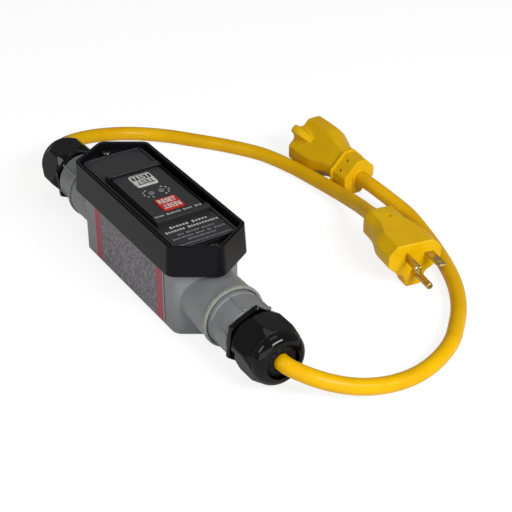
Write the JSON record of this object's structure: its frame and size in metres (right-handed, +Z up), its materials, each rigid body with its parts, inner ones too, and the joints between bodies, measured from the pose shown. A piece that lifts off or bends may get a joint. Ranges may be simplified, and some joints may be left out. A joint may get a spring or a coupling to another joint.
{
  "type": "in-line ground fault cord set",
  "caption": "In-line ground fault interrupter cord set: weatherproof box with test and reset keys, cable glands, and short yellow cords with a grounded plug and connector.",
  "frame": {"origin": "on the ground under the middle of the box, which is the bottom centre of the box and its glands without the free cords", "axes": "+X along the box towards the load-side gland, +Y across the box towards the plug and connector, +Z up"},
  "size_m": [0.3737, 0.2225, 0.067],
  "materials": {
    "grey_pvc": "moulded grey PVC, satin",
    "pale_grey": "paler moulded grey plastic, satin",
    "cover_black": "fine textured charcoal plastic",
    "face_black": "matte charcoal plastic",
    "gland_black": "glossy black nylon",
    "seal_rubber": "soft black rubber",
    "plug_yellow": "moulded yellow vinyl, satin",
    "cord_yellow": "yellow cord jacket, soft gloss",
    "key_white": "white and black key cap",
    "key_red": "red key cap",
    "label": "grey printed film with red bands, no text",
    "lens": "frosted grey indicator lens",
    "brass": "rolled brass, lightly tarnished",
    "steel": "zinc plated steel",
    "copper": "enamelled copper winding",
    "board_green": "solder mask",
    "wire_black": "black wire insulation",
    "wire_white": "white wire insulation",
    "wire_green": "green wire insulation"
  },
  "bodies": {
    "root": {"enclosure": "grey_pvc", "adapter_load": "grey_pvc", "adapter_line": "grey_pvc", "hub_ring_load": "pale_grey", "hub_ring_line": "pale_grey", "cover": "cover_black", "bezel": "cover_black", "module_lid": "cover_black", "module_base": "cover_black", "face_plate": "face_black", "device_face": "face_black", "gland_body_load": "gland_black", "gland_body_line": "gland_black", "cover_gasket": "seal_rubber", "gland_washer_load": "seal_rubber", "gland_washer_line": "seal_rubber", "gland_seal_load": "seal_rubber", "gland_seal_line": "seal_rubber", "plug_body": "plug_yellow", "connector_body": "plug_yellow", "cord_load": "cord_yellow", "cord_line": "cord_yellow", "side_label": "label", "power_lens": "lens", "fault_lens": "lens", "power_lamp": "lens", "fault_lamp": "lens", "line_blade": "brass", "neutral_blade": "brass", "ground_pin": "brass", "line_contact": "brass", "neutral_contact": "brass", "ground_contact": "brass", "fixed_contact_line": "brass", "fixed_contact_load": "brass", "cover_screw_line": "steel", "cover_screw_load": "steel", "test_spring": "steel", "reset_spring": "steel", "sensing_coil": "copper", "grounded_neutral_coil": "copper", "trip_solenoid": "copper", "circuit_board": "board_green", "hot_wire_load": "wire_black", "neutral_wire_load": "wire_white", "ground_wire_load": "wire_green", "hot_wire_line": "wire_black", "neutral_wire_line": "wire_white", "ground_wire_line": "wire_green"},
    "test_key": {"test_button": "key_white"},
    "reset_key": {"reset_button": "key_red"},
    "load_gland_nut": {"dome_nut_load": "gland_black"},
    "line_gland_nut": {"dome_nut_line": "gland_black"},
    "trip_plunger": {"trip_plunger": "steel"},
    "contact_carrier": {"contact_carrier": "brass"}
  },
  "joints": [
    {"name": "test_key_press", "type": "slide", "parent": "root", "child": "test_key", "axis": [0, 0, -1], "range_m": [0, 0.0015], "stiffness_N_per_m": 300, "deforming": ["test_spring"]},
    {"name": "reset_key_press", "type": "slide", "parent": "root", "child": "reset_key", "axis": [0, 0, -1], "range_m": [0, 0.0015], "stiffness_N_per_m": 300, "deforming": ["reset_spring"]},
    {"name": "load_nut_turn", "type": "hinge", "parent": "root", "child": "load_gland_nut", "pos_m": [0.134, 0, 0.0237], "axis": [1, 0, 0], "range_deg": [0, 360]},
    {"name": "line_nut_turn", "type": "hinge", "parent": "root", "child": "line_gland_nut", "pos_m": [-0.134, 0, 0.0237], "axis": [-1, 0, 0], "range_deg": [0, 360]},
    {"name": "plunger_pull", "type": "slide", "parent": "root", "child": "trip_plunger", "axis": [-1, 0, 0], "range_m": [0, 0.002], "stiffness_N_per_m": 120},
    {"name": "contacts_open", "type": "slide", "parent": "root", "child": "contact_carrier", "axis": [0, 0, 1], "range_m": [0, 0.0012]}
  ],
  "couplings": [
    {"joint": "contacts_open", "follows": "plunger_pull", "ratio": 0.6}
  ]
}
